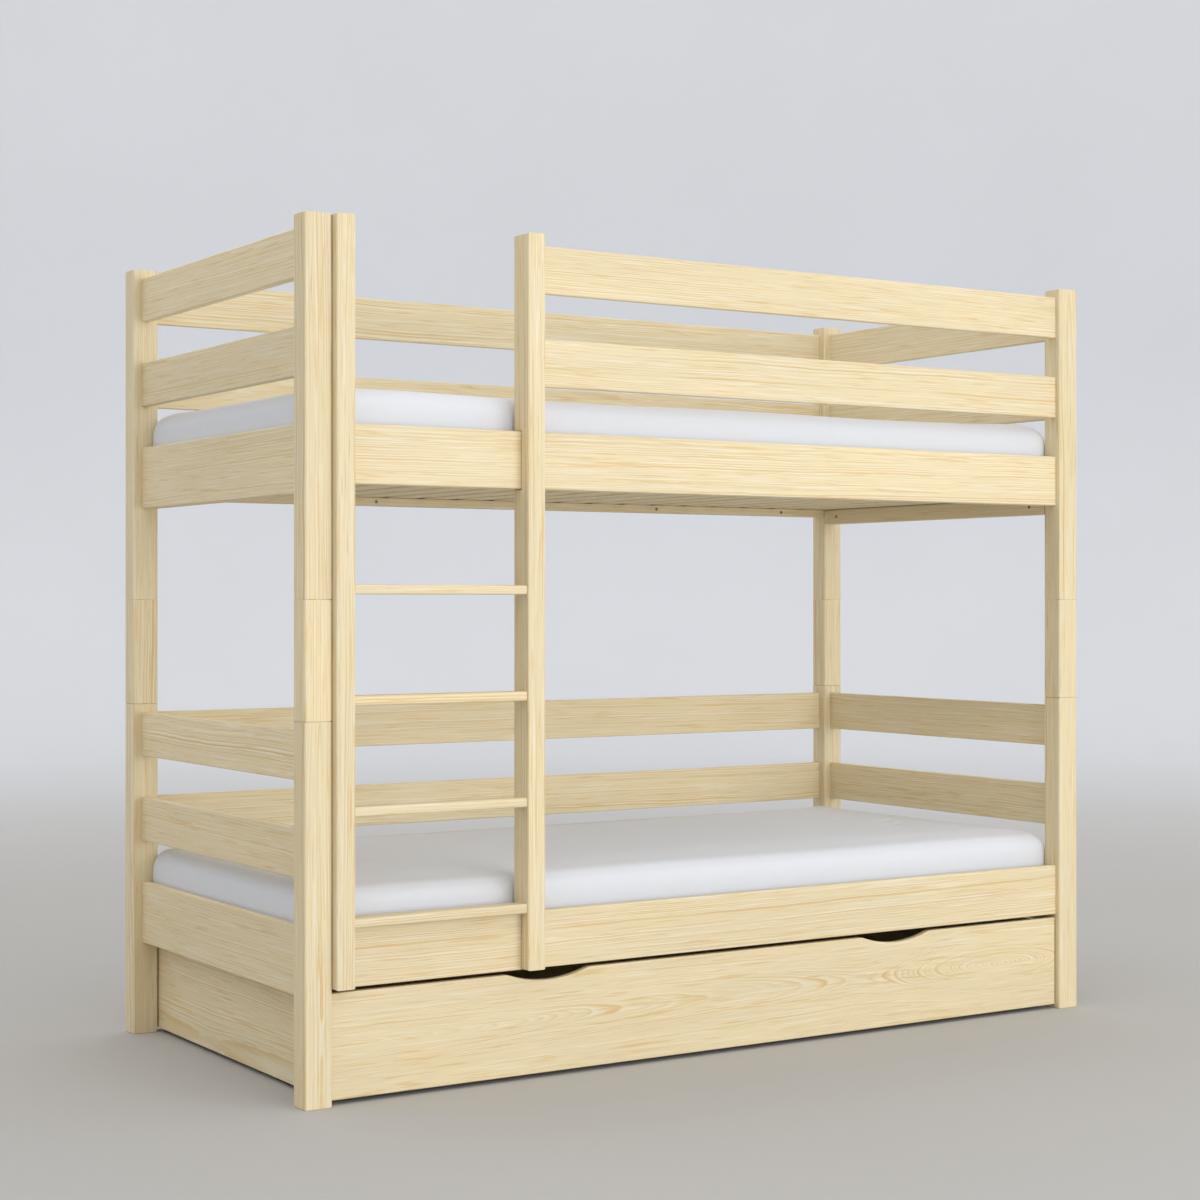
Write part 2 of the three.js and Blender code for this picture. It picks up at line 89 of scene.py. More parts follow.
# Rails and ledges
BOARD_THICKNESS = 19 * MM
BOARD_ROUND = 3 * MM
LEDGE_ROUND = 1.5 * MM
JOINT_GAP = 0.3 * MM
GLUE_LINE = 0.15 * MM

# Screws along the ledges
SIDE_SCREWS = 5
SIDE_SCREW_SPACING = 415 * MM
END_SCREWS = 2
END_SCREW_SPACING = 760 * MM
SCREW_PROUD = 0.35 * MM

# Tapes and staples of the slat bases
TAPE_SAG = 2.0 * MM
TAPE_STEPS_PER_SLAT = 8
TAPE_RIB = 1.6 * MM
TAPE_WARP = 2.4 * MM
STAPLE_OFFSET = 9 * MM
STAPLE_HALF_SIZE = Vector((0.6 * MM, 5 * MM, 0.25 * MM))

# Mattresses; the pairs are limits between which each crease is drawn
THREAD = 1.1 * MM
FILLING_FRAMES = 20
UNEVENNESS = 1.5 * MM
CREASES_PER_END = 8
CREASE_FROM_END = (0.0, 0.12)
CREASE_ASIDE = (-0.25, 0.30)
CREASE_ANGLE = (0.35, 0.9)
CREASE_LENGTH = (0.16, 0.32)
CREASE_WIDTH = (0.009, 0.015)
CREASE_BOW = 0.25

# Angles over which an edge between two faces stays crisp, on boards and on turned pieces
CRISP_ANGLE = math.radians(48)
TURNED_CRISP_ANGLE = math.radians(35)

# Studio
FLOOR_RADIUS = 9.0
RIM_RADIUS = 3.0
RIM_TOP = 7.0
KEY_SIZE = (5.0, 3.0)
KEY_PLACE = Vector((1.0, -7.0, 1.5))
KEY_TARGET = Vector((0, 0, 0.9))
SKY_COLOUR = (0.985, 0.98, 0.97, 1)

# Turns that lay a board's length along the grain's X axis
GRAIN_TURNS = {
    "x": (0.0, 0.0, 0.0),
    "y": (0.0, 0.0, -math.pi / 2),
    "z": (0.0, math.pi / 2, 0.0),
}


# ---------------------------------------------------------------- settings


class BunkPineSettings(PropertyGroup):
    """The look of the pine."""

    spring_colour: FloatVectorProperty(
        name="Spring wood", description="Colour of the wide pale part of each ring",
        subtype="COLOR", size=3, min=0, max=1, default=(0.785, 0.665, 0.42))
    summer_colour: FloatVectorProperty(
        name="Summer wood", description="Colour of the thin dark line of each ring",
        subtype="COLOR", size=3, min=0, max=1, default=(0.68, 0.455, 0.17))
    pale_colour: FloatVectorProperty(
        name="Pale streaks", description="Colour of the whitish streaks between the rings",
        subtype="COLOR", size=3, min=0, max=1, default=(0.85, 0.765, 0.59))
    ring_width: FloatProperty(
        name="Ring width", description="Distance from one growth ring to the next",
        unit="LENGTH", default=4.1 * MM, min=1.0 * MM, max=20.0 * MM)
    contrast: FloatProperty(
        name="Grain contrast", description="How strongly the summer wood shows",
        subtype="FACTOR", default=0.95, min=0, max=1)
    roughness: FloatProperty(
        name="Roughness", description="Gloss of the clear satin lacquer",
        subtype="FACTOR", default=0.46, min=0, max=1)


class BunkSlatSettings(PropertyGroup):
    """Slats, tapes and the screws of the ledges."""

    slat_count: IntProperty(
        name="Slats", description="Number of slats in each bed", default=20, min=2, max=40)
    slat_width: FloatProperty(
        name="Slat width", description="Width of one slat along the bed",
        unit="LENGTH", default=70 * MM, min=20 * MM, max=150 * MM)
    slat_round: FloatProperty(
        name="Slat edge", description="Radius of the slats' rounded edges",
        unit="LENGTH", default=2.5 * MM, min=0.2 * MM, max=8 * MM)
    tape_width: FloatProperty(
        name="Tape width", description="Width of the webbing that keeps the slats apart",
        unit="LENGTH", default=30 * MM, min=5 * MM, max=60 * MM)
    tape_thickness: FloatProperty(
        name="Tape thickness", description="Thickness of the webbing",
        unit="LENGTH", default=1.2 * MM, min=0.3 * MM, max=4 * MM)
    tape_inset: FloatProperty(
        name="Tape inset", description="Distance of a tape's middle from the slats' ends",
        unit="LENGTH", default=120 * MM, min=20 * MM, max=300 * MM)
    screw_radius: FloatProperty(
        name="Screw head", description="Radius of the countersunk screw heads in the ledges",
        unit="LENGTH", default=4.2 * MM, min=1 * MM, max=8 * MM)


class BunkMattressSettings(PropertyGroup):
    """The padded mattresses."""

    cover_colour: FloatVectorProperty(
        name="Cover", description="Colour of the cotton cover",
        subtype="COLOR", size=3, min=0, max=1, default=(0.728, 0.748, 0.792))
    edge_round: FloatProperty(
        name="Edge round", description="Radius of the mattress's long edges before it is filled",
        unit="LENGTH", default=42 * MM, min=5 * MM, max=75 * MM)
    corner_round: FloatProperty(
        name="Corner round", description="Radius of the corners seen from above",
        unit="LENGTH", default=24 * MM, min=10 * MM, max=120 * MM)
    voxel: FloatProperty(
        name="Cloth mesh size", description="Size of the faces of the cover while it is filled",
        unit="LENGTH", default=12 * MM, min=5 * MM, max=30 * MM)
    pressure: FloatProperty(
        name="Filling pressure", description="Pressure of the foam against the cover",
        default=4.0, min=0, max=20)
    swell: FloatProperty(
        name="Most swelling", description="Furthest that filling may move a point outwards",
        unit="LENGTH", default=9 * MM, min=0, max=30 * MM)
    draw_in: FloatProperty(
        name="Most drawing in",
        description="Furthest that the tight cover may pull a point inwards",
        unit="LENGTH", default=1.5 * MM, min=0, max=30 * MM)
    press_gap: FloatProperty(
        name="Gap at the posts", description="Gap between the cover and the wood it meets",
        unit="LENGTH", default=1.0 * MM, min=0, max=10 * MM)
    crease_depth: FloatProperty(
        name="Crease depth", description="Depth of the faint creases near the ends",
        unit="LENGTH", default=5.0 * MM, min=0, max=8 * MM)


class BunkStageSettings(PropertyGroup):
    """Floor, light and camera."""

    floor_colour: FloatVectorProperty(
        name="Floor", description="Colour of the studio floor under the bed",
        subtype="COLOR", size=3, min=0, max=1, default=(0.50, 0.49, 0.475))
    backdrop_colour: FloatVectorProperty(
        name="Backdrop", description="Colour of the raised rim of the floor",
        subtype="COLOR", size=3, min=0, max=1, default=(0.755, 0.77, 0.80))
    sky_strength: FloatProperty(
        name="Sky strength", description="Strength of the even light from all round",
        default=1.1, min=0, max=5)
    key_power: FloatProperty(
        name="Key light power", description="Power of the large soft light at the front",
        unit="POWER", default=208, min=0, max=5000)
    camera_place: FloatVectorProperty(
        name="Camera place", description="Where the camera stands",
        subtype="TRANSLATION", size=3, default=(-2.9075, -4.4486, 0.999))
    camera_heading: FloatProperty(
        name="Camera heading", description="Turn of the level camera about the vertical",
        unit="ROTATION", default=math.radians(-32.735))
    camera_lens: FloatProperty(
        name="Camera lens", description="Focal length on a 36 mm sensor",
        unit="CAMERA", default=66.83, min=10, max=300)


class BunkBedSettings(PropertyGroup):
    """All sizes and colours of the bunk bed."""

    pine: PointerProperty(type=BunkPineSettings)
    slats: PointerProperty(type=BunkSlatSettings)
    mattress: PointerProperty(type=BunkMattressSettings)
    stage: PointerProperty(type=BunkStageSettings)


# ---------------------------------------------------------------- node trees


def add_node(tree, kind, inputs=None, **settings):
    """A node with its settings, and its inputs given as values or as sockets to link."""
    node = tree.nodes.new(kind)
    for key, value in settings.items():
        setattr(node, key, value)
    for key, value in (inputs or {}).items():
        if isinstance(value, NodeSocket):
            tree.links.new(value, node.inputs[key])
        else:
            node.inputs[key].default_value = value
    return node


def calc(tree, operation, *values):
    """The result of a Math node."""
    node = add_node(tree, "ShaderNodeMath", dict(enumerate(values)), operation=operation)
    return node.outputs[0]


def vector_calc(tree, operation, *values):
    """The vector result of a Vector Math node."""
    node = add_node(tree, "ShaderNodeVectorMath", dict(enumerate(values)), operation=operation)
    return node.outputs[0]


def smooth_step(tree, value, low, high, out_low=0.0, out_high=1.0):
    """The value eased from one range to another."""
    node = add_node(
        tree, "ShaderNodeMapRange",
        {"Value": value, "From Min": low, "From Max": high, "To Min": out_low, "To Max": out_high},
        interpolation_type="SMOOTHSTEP")
    return node.outputs["Result"]


def blend_colours(tree, factor, first, second, mode="MIX"):
    """The colour result of a Mix node, whose colours are its inputs 6 and 7 and its output 2."""
    node = add_node(tree, "ShaderNodeMix", {0: factor, 6: first, 7: second},
                    data_type="RGBA", blend_type=mode)
    return node.outputs[2]


def join_xyz(tree, x=0.0, y=0.0, z=0.0):
    """A vector from three numbers."""
    return add_node(tree, "ShaderNodeCombineXYZ", {"X": x, "Y": y, "Z": z}).outputs[0]


def split_xyz(tree, vector):
    """The X, Y and Z of a vector."""
    return add_node(tree, "ShaderNodeSeparateXYZ", {"Vector": vector}).outputs


def scale_vector(tree, vector, scale):
    """A vector times a number."""
    node = add_node(tree, "ShaderNodeVectorMath", {0: vector, "Scale": scale}, operation="SCALE")
    return node.outputs[0]


def length_of(tree, vector):
    """The length of a vector."""
    return add_node(tree, "ShaderNodeVectorMath", {0: vector}, operation="LENGTH").outputs[1]


def shade_colour(tree, colour, shade):
    """The colour made lighter or darker by a number."""
    return blend_colours(tree, 1.0, colour, join_xyz(tree, shade, shade, shade), "MULTIPLY")


def object_place(tree):
    """The place on the object, in metres."""
    return add_node(tree, "ShaderNodeTexCoord").outputs["Object"]


def noise_at(tree, vector, detail=2.0, output="Fac"):
    """Noise texture at a vector that is already scaled."""
    node = add_node(tree, "ShaderNodeTexNoise", {"Vector": vector, "Scale": 1.0, "Detail": detail})
    return node.outputs[output]


def scaled_noise(tree, place, scale, detail=2.0):
    """Noise over a place, with its own fineness along each axis, per metre."""
    return noise_at(tree, vector_calc(tree, "MULTIPLY", place, scale), detail)


def start_group(name, inputs, outputs):
    """A new shader node group with named sockets; returns its tree, inputs and output node."""
    tree = bpy.data.node_groups.new(name, "ShaderNodeTree")
    for socket_name, kind, default in inputs:
        socket = tree.interface.new_socket(socket_name, in_out="INPUT", socket_type=kind)
        socket.default_value = default
    for socket_name, kind in outputs:
        tree.interface.new_socket(socket_name, in_out="OUTPUT", socket_type=kind)
    entry = tree.nodes.new("NodeGroupInput")
    leave = tree.nodes.new("NodeGroupOutput")
    return tree, entry.outputs, leave


def set_outputs(tree, leave, **values):
    """Links a group's results to its output node; an underscore stands for a space."""
    for name, value in values.items():
        tree.links.new(value, leave.inputs[name.replace("_", " ")])


def rgba(colour, tone=1.0):
    """The colour with a tone, clipped at white, as a shader's four numbers."""
    return (*(min(1.0, c * tone) for c in colour), 1.0)


def pine_grain_group():
    """Growth rings round a pith, cut by the board: lines on its faces and arcs on its ends."""
    if "Pine grain" in bpy.data.node_groups:
        return bpy.data.node_groups["Pine grain"]
    tree, given, leave = start_group(
        "Pine grain",
        [
            ("Middle", "NodeSocketVector", (0, 0, 0)),
            ("Turn", "NodeSocketVector", (0, 0, 0)),
            ("Pith", "NodeSocketVector", (0, 0.1, 0.1)),
            ("Lean", "NodeSocketVector", (0, 0, 0)),
            ("Figure", "NodeSocketFloat", 0.008),
            ("Bend", "NodeSocketFloat", 0.0),
            ("Bend place", "NodeSocketFloat", 0.0),
            ("Ring width", "NodeSocketFloat", 0.005),
            ("Seed", "NodeSocketFloat", 0.0),
            ("Contrast", "NodeSocketFloat", 0.7),
            ("Spring", "NodeSocketColor", (0.8, 0.7, 0.45, 1)),
            ("Summer", "NodeSocketColor", (0.6, 0.4, 0.2, 1)),
            ("Pale", "NodeSocketColor", (0.9, 0.8, 0.6, 1)),
            ("Roughness", "NodeSocketFloat", 0.5),
        ],
        [
            ("Colour", "NodeSocketColor"),
            ("Roughness", "NodeSocketFloat"),
            ("Height", "NodeSocketFloat"),
        ],
    )
    seed = given["Seed"]
    local = vector_calc(tree, "SUBTRACT", object_place(tree), given["Middle"])
    board = add_node(tree, "ShaderNodeVectorRotate", {"Vector": local, "Rotation": given["Turn"]},
                     rotation_type="EULER_XYZ").outputs[0]
    along = split_xyz(tree, board)["X"]
    seed_steps = (3.17, 1.31, 2.73)
    seed_shift = join_xyz(tree, *(calc(tree, "MULTIPLY", seed, step) for step in seed_steps))

    def stretched_noise(scale, detail=2.0, output="Fac"):
        """Noise of the board's own, with its fineness along and across the grain per metre."""
        scaled = vector_calc(tree, "MULTIPLY", board, scale)
        return noise_at(tree, vector_calc(tree, "ADD", scaled, seed_shift), detail, output)

    def wander(scale, reach):
        """A sideways drift of the pith with the given reach in metres."""
        noise = stretched_noise(scale, 1.0, "Color")
        centred = vector_calc(tree, "SUBTRACT", noise, (0.5, 0.5, 0.5))
        sideways = vector_calc(tree, "MULTIPLY", centred, (0.0, 2.0, 2.0))
        return scale_vector(tree, sideways, reach)

    centre = vector_calc(tree, "ADD", given["Pith"], scale_vector(tree, given["Lean"], along))
    past_place = calc(tree, "SUBTRACT", along, given["Bend place"])
    past_bend = calc(tree, "SMOOTH_MAX", past_place, 0.0, 0.15)
    bend = join_xyz(tree, y=calc(tree, "MULTIPLY", past_bend, given["Bend"]))
    centre = vector_calc(tree, "ADD", centre, bend)
    for drift in (wander((1.3, 0.2, 0.2), given["Figure"]), wander((5.0, 5.0, 5.0), 0.0022),
                  wander((21.0, 45.0, 45.0), 0.0007)):
        centre = vector_calc(tree, "ADD", centre, drift)
    from_pith = vector_calc(tree, "MULTIPLY", vector_calc(tree, "ADD", board, centre), (0, 1, 1))
    radius = length_of(tree, from_pith)

    rings = calc(tree, "DIVIDE", radius, given["Ring width"])
    uneven = add_node(tree, "ShaderNodeTexNoise", {
        "W": calc(tree, "ADD", calc(tree, "MULTIPLY", radius, 90.0), seed),
        "Scale": 1.0, "Detail": 1.0}, noise_dimensions="1D").outputs["Fac"]
    rings = calc(tree, "ADD", rings, calc(tree, "MULTIPLY", uneven, 2.2))
    ring_number = calc(tree, "FLOOR", rings)
    ring_part = calc(tree, "FRACT", rings)
    ring_strength = add_node(tree, "ShaderNodeTexWhiteNoise", {
        "W": calc(tree, "ADD", ring_number, calc(tree, "MULTIPLY", seed, 31.7))},
        noise_dimensions="1D").outputs["Value"]
    ring_strength = smooth_step(tree, ring_strength, 0.1, 1.0, 0.35, 0.88)
    rise = smooth_step(tree, ring_part, 0.42, 0.88)
    fall = smooth_step(tree, ring_part, 0.92, 1.0, 1.0, 0.0)
    come_and_go = smooth_step(tree, stretched_noise((3.2, 34, 34)), 0.34, 0.60, 0.25, 1.0)
    strength = calc(tree, "MULTIPLY", ring_strength, come_and_go)
    line = calc(tree, "MULTIPLY", calc(tree, "MULTIPLY", rise, fall), strength)
    dash = smooth_step(tree, stretched_noise((8.0, 185, 185), 3.0), 0.54, 0.72, 0.0, 0.65)
    summer = calc(tree, "MAXIMUM", line, dash)
    after_ring = calc(tree, "MULTIPLY", smooth_step(tree, ring_part, 0.0, 0.06),
                      smooth_step(tree, ring_part, 0.18, 0.42, 1.0, 0.0))
    streak = smooth_step(tree, stretched_noise((4.6, 230, 230), 3.0), 0.50, 0.68, 0.0, 0.8)
    pale = calc(tree, "MAXIMUM", streak, calc(tree, "MULTIPLY", after_ring, strength))

    fibre = stretched_noise((16, 620, 620))
    tone = stretched_noise((1.1, 8, 8), 3.0)

    colour = blend_colours(tree, calc(tree, "MULTIPLY", pale, given["Contrast"]), given["Spring"],
                           given["Pale"])
    colour = blend_colours(tree, calc(tree, "MULTIPLY", summer, given["Contrast"]), colour,
                           given["Summer"])
    shade = calc(tree, "ADD", smooth_step(tree, fibre, 0.25, 0.75, 0.955, 1.03),
                 smooth_step(tree, tone, 0.3, 0.7, -0.035, 0.035))
    colour = shade_colour(tree, colour, shade)

    rough = calc(tree, "ADD", given["Roughness"], calc(tree, "MULTIPLY", summer, -0.06))
    rough = calc(tree, "ADD", rough, smooth_step(tree, fibre, 0.2, 0.8, 0.0, 0.10))
    height = calc(tree, "ADD", calc(tree, "MULTIPLY", fibre, 0.35),
                  calc(tree, "MULTIPLY", summer, 0.65))
    set_outputs(tree, leave, Colour=colour, Roughness=rough, Height=height)
    return tree


def cotton_weave_group():
    """Plain-woven cotton: fine crossed threads, a soft unevenness and a faint mottle."""
    if "Cotton weave" in bpy.data.node_groups:
        return bpy.data.node_groups["Cotton weave"]
    tree, given, leave = start_group(
        "Cotton weave",
        [
            ("Colour", "NodeSocketColor", (0.8, 0.8, 0.8, 1)),
            ("Thread", "NodeSocketFloat", 0.001),
            ("Seed", "NodeSocketFloat", 0.0),
        ],
        [
            ("Colour", "NodeSocketColor"),
            ("Roughness", "NodeSocketFloat"),
            ("Thread height", "NodeSocketFloat"),
            ("Soft height", "NodeSocketFloat"),
        ],
    )
    place = object_place(tree)
    turns = calc(tree, "DIVIDE", 2 * math.pi, given["Thread"])
    waves = [calc(tree, "SINE", calc(tree, "MULTIPLY", part, turns))
             for part in split_xyz(tree, place)]
    weave = calc(tree, "ADD", calc(tree, "MULTIPLY", waves[0], waves[1]),
                 calc(tree, "MULTIPLY", waves[2], calc(tree, "ADD", waves[0], waves[1])))
    moved = vector_calc(tree, "ADD", place, join_xyz(tree, given["Seed"], given["Seed"]))
    soft = scaled_noise(tree, moved, (7, 9, 12))
    mottle = scaled_noise(tree, moved, (60, 60, 60), 4.0)
    shade = calc(tree, "ADD", smooth_step(tree, mottle, 0.3, 0.7, 0.992, 1.004),
                 calc(tree, "MULTIPLY", weave, 0.010))
    colour = shade_colour(tree, given["Colour"], shade)
    rough = smooth_step(tree, mottle, 0.2, 0.8, 0.82, 0.95)
    set_outputs(tree, leave, Colour=colour, Roughness=rough, Thread_height=weave, Soft_height=soft)
    return tree


def new_material(name):
    """An empty material; returns it with its tree and its Principled shader."""
    material = bpy.data.materials.new(name)
    material.use_nodes = True
    tree = material.node_tree
    return material, tree, tree.nodes["Principled BSDF"]


def set_surface(tree, shader, colour, rough, height=None, strength=0.25, distance=0.3 * MM):
    """Links what changes over a surface to its shader, with a bump where a height is given."""
    tree.links.new(colour, shader.inputs["Base Color"])
    tree.links.new(rough, shader.inputs["Roughness"])
    if height is not None:
        bump = add_node(tree, "ShaderNodeBump",
                        {"Height": height, "Strength": strength, "Distance": distance})
        tree.links.new(bump.outputs[0], shader.inputs["Normal"])


def place_group(tree, group, values):
    """The group placed in a material, with its inputs set."""
    return add_node(tree, "ShaderNodeGroup", values, node_tree=group).outputs


# ---------------------------------------------------------------- wood


# Limits of the figure that a board draws from its name, in metres: how far the pith lies behind
# the face and across it, its lean per metre both ways, and how far it drifts
PITH_BEHIND = (0.03, 0.09)
PITH_ACROSS = (0.07, 0.16)
LEAN_BEHIND = (-0.006, 0.006)
LEAN_ACROSS = (-0.012, 0.012)
DRIFT = (0.004, 0.010)
NO_BEND = (0, 0)

# Boards whose figure is chosen: the pith's place, its lean and drift, and a bend given as the
# change of lean and the place along the board where it starts
CHOSEN_FIGURES = {
    "drawer_front": ((0.052, -0.010), (0.046, -0.004), 0.010, (-0.200, 0.40)),
    "ladder_stile_left": ((0.110, 0.060), (0.004, 0.003), 0.008, NO_BEND),
    "upper_right_rail": ((0.07, 0.004), (0.02, 0.03), 0.080, NO_BEND),
    "upper_back_board_low": ((0.07, 0.01), (0.01, 0.008), 0.070, NO_BEND),
    "lower_post_front_left": ((0.045, 0.006), (0.004, 0.002), 0.016, NO_BEND),
    "upper_post_front_right": ((0.05, 0.004), (0.004, 0.002), 0.016, NO_BEND),
}


def figure_of(name):
    """The pith's place, lean, drift and bend, and a seed for a board, fixed by the board's name."""
    draw = random.Random(name)
    seed = draw.uniform(0, 100)
    if name in CHOSEN_FIGURES:
        return (*CHOSEN_FIGURES[name], seed)
    behind = draw.choice((-1, 1)) * draw.uniform(*PITH_BEHIND)
    across = draw.choice((-1, 1)) * draw.uniform(*PITH_ACROSS)
    lean = (draw.uniform(*LEAN_BEHIND), draw.uniform(*LEAN_ACROSS))
    return (behind, across), lean, draw.uniform(*DRIFT), NO_BEND, seed


def pine_material(name, low, high, along, tone=1.0, rings=1.0):
    """Lacquered pine for one board, with the grain along its length and a figure of its own."""
    look = bpy.context.scene.bunk_bed.pine
    material, tree, shader = new_material(f"pine_{name}")
    pith, lean, drift, (bend, bend_place), seed = figure_of(name)
    ring_width = look.ring_width * rings * random.Random(f"rings {name}").uniform(0.85, 1.2)
    grain = place_group(tree, pine_grain_group(), {
        "Middle": (low + high) / 2,
        "Turn": GRAIN_TURNS[along],
        "Pith": (0.0, *pith),
        "Lean": (0.0, *lean),
        "Figure": drift,
        "Bend": bend,
        "Bend place": bend_place,
        "Ring width": ring_width,
        "Seed": seed,
        "Contrast": look.contrast,
        "Spring": rgba(look.spring_colour, tone),
        "Summer": rgba(look.summer_colour, tone),
        "Pale": rgba(look.pale_colour, tone),
        "Roughness": look.roughness,
    })
    set_surface(tree, shader, grain["Colour"], grain["Roughness"], grain["Height"])
    shader.inputs["Specular IOR Level"].default_value = 0.35
    return material


def grain_axis(low, high):
    """The letter of the box's longest side."""
    sizes = list(high - low)
    return "xyz"[sizes.index(max(sizes))]


def board_tone(name):
    """A slight difference in tone from board to board."""
    return random.Random(f"tone {name}").uniform(0.965, 1.02)


def smooth_piece(piece, angle=CRISP_ANGLE, weld=False):
    """Smooth shading over rounded edges, with flat faces kept flat."""
    mesh = piece.data
    mesh.polygons.foreach_set("use_smooth", [True] * len(mesh.polygons))
    if weld:
        for attribute in ("custom_normal", "sharp_edge"):
            if attribute in mesh.attributes:
                mesh.attributes.remove(mesh.attributes[attribute])
        merge = piece.modifiers.new("Merge", "WELD")
        merge.merge_threshold = 0.01 * MM
    split = piece.modifiers.new("Crisp edges", "EDGE_SPLIT")
    split.split_angle = angle
    split.use_edge_sharp = False
    even = piece.modifiers.new("Even faces", "WEIGHTED_NORMAL")
    even.weight = 80


def finish_node(name, material, angle=CRISP_ANGLE):
    """Gives a carried-over node its finish."""
    piece = frame["nodes"][name]
    piece.data.materials.clear()
    piece.data.materials.append(material)
    smooth_piece(piece, angle, weld=True)


def finish_pine_node(name, rings=1.0):
    """Gives a carried-over node pine of its own, with its rings this much wider than usual."""
    low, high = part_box(name)
    material = pine_material(name, low, high, grain_axis(low, high), board_tone(name), rings)
    finish_node(name, material)


# ---------------------------------------------------------------- mesh pieces


def new_piece(name, bm, material):
    """An object made from a bmesh, linked to the scene."""
    mesh = bpy.data.meshes.new(name)
    bm.to_mesh(mesh)
    bm.free()
    piece = bpy.data.objects.new(name, mesh)
    bpy.context.scene.collection.objects.link(piece)
    if material:
        mesh.materials.append(material)
    return piece


def add_box(bm, low, high):
    """A box in the bmesh; returns its vertices."""
    made = bmesh.ops.create_cube(bm, size=1.0)["verts"]
    size = high - low
    middle = (low + high) / 2
    for vert in made:
        vert.co = Vector(c * s + m for c, s, m in zip(vert.co, size, middle))
    return made


def edges_along(verts, axis):
    """The edges at these vertices of a box that run along one axis, each once and in order."""
    return list(dict.fromkeys(e for v in verts for e in v.link_edges
                              if abs((e.verts[0].co - e.verts[1].co)[axis]) > 1e-6))


def add_eased_box(bm, low, high, along, radius):
    """A box whose edges along one axis are rounded; the sawn ends stay square."""
    edges = edges_along(add_box(bm, low, high), "xyz".index(along))
    bmesh.ops.bevel(bm, geom=edges, offset=radius, segments=3, profile=0.5,
                    affect="EDGES", clamp_overlap=True)


def add_cone(bm, centre, direction, radius_low, radius_high, depth, steps=20):
    """A closed cone or disc standing on centre along direction."""
    made = bmesh.ops.create_cone(bm, cap_ends=True, segments=steps, radius1=radius_low,
                                 radius2=radius_high, depth=depth)["verts"]
    turn = Vector((0, 0, 1)).rotation_difference(direction)
    for vert in made:
        vert.co = turn @ (vert.co + Vector((0, 0, depth / 2))) + centre


def ride_bed(piece, slot_name, *nodes):
    """Fixes a piece to the bed and hides the nodes that it stands for; its slot name is not used.
    """
    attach(piece, "bed")
    if nodes:
        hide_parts(*nodes)


# ---------------------------------------------------------------- rails, ledges and screws


def rail_parts(name):
    """The boxes of a rail's board and of the ledge inside it, and the way the ledge faces."""
    low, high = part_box(name)
    side = name.split("_")[1]
    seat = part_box(f"{name.split('_')[0]}_slat_base")[0].z - JOINT_GAP
    board_low, board_high, ledge_low, ledge_high = (v.copy() for v in (low, high, low, high))
    axis = 1 if side in ("front", "back") else 0
    inward = 1 if side in ("front", "left") else -1
    if inward > 0:
        board_high[axis] = low[axis] + BOARD_THICKNESS
        ledge_low[axis] = board_high[axis] + GLUE_LINE
    else:
        board_low[axis] = high[axis] - BOARD_THICKNESS
        ledge_high[axis] = board_low[axis] - GLUE_LINE
    ledge_high.z = seat
    facing = Vector((0, 0, 0))
    facing[axis] = inward
    return (board_low, board_high), (ledge_low, ledge_high), facing


def make_rail(name):
    """One rail's board and its ledge, in place of the joined node."""
    board, ledge, _ = rail_parts(name)
    along = "x" if name.split("_")[1] in ("front", "back") else "y"
    bm = bmesh.new()
    add_eased_box(bm, *board, along, BOARD_ROUND)
    rail = new_piece(f"{name}_board", bm, pine_material(name, *board, along, board_tone(name)))
    smooth_piece(rail)
    ride_bed(rail, "pine", name)

    bm = bmesh.new()
    add_eased_box(bm, *ledge, along, LEDGE_ROUND)
    ledge_name = f"{name}_ledge"
    ledge_pine = pine_material(ledge_name, *ledge, along, board_tone(ledge_name))
    batten = new_piece(ledge_name, bm, ledge_pine)
    smooth_piece(batten)
    ride_bed(batten, "pine")


def screw_rows(level):
    """Places and directions of the ledge screws of one bed."""
    for side in RAIL_SIDES:
        _, (low, high), facing = rail_parts(f"{level}_{side}_rail")
        if side in ("front", "back"):
            axis, count, spacing = 0, SIDE_SCREWS, SIDE_SCREW_SPACING
        else:
            axis, count, spacing = 1, END_SCREWS, END_SCREW_SPACING
        middle = (low + high) / 2
        face = middle + Vector(f * (h - l) / 2 for f, h, l in zip(facing, high, low))
        for i in range(count):
            place = face.copy()
            place[axis] += (i - (count - 1) / 2) * spacing
            yield place, facing


def screw_steel_material():
    """Yellow-passivated steel, dull in the recess."""
    material, tree, shader = new_material("screw_steel")
    smudge = scaled_noise(tree, object_place(tree), (900, 900, 900), 3.0)
    colour = blend_colours(tree, smooth_step(tree, smudge, 0.3, 0.7), (0.16, 0.12, 0.07, 1),
                           (0.26, 0.20, 0.12, 1))
    set_surface(tree, shader, colour, smooth_step(tree, smudge, 0.2, 0.8, 0.30, 0.55))
    shader.inputs["Metallic"].default_value = 0.85
    return material


def add_screw_head(bm, place, facing, radius):
    """A countersunk head with a cross recess, just proud of the wood."""
    add_cone(bm, place, facing, radius, radius * 0.9, SCREW_PROUD)
    side = facing.orthogonal().normalized()
    for turn in (side, facing.cross(side)):
        half = turn * radius * 0.55
        across = facing.cross(turn) * radius * 0.13
        corners = [place + facing * (SCREW_PROUD * 0.9) + half * a + across * b
                   for a in (-1, 1) for b in (-1, 1)]
        low = Vector(map(min, *corners))
        high = Vector(map(max, *corners)) + Vector(abs(c) for c in facing) * SCREW_PROUD * 0.25
        add_box(bm, low, high)


# ---------------------------------------------------------------- slat bases


def slat_places():
    """The middles of the slats along the bed."""
    look = bpy.context.scene.bunk_bed.slats
    low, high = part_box("lower_slat_base")
    pitch = (high.x - low.x - look.slat_width) / (look.slat_count - 1)
    return [low.x + look.slat_width / 2 + i * pitch for i in range(look.slat_count)], pitch


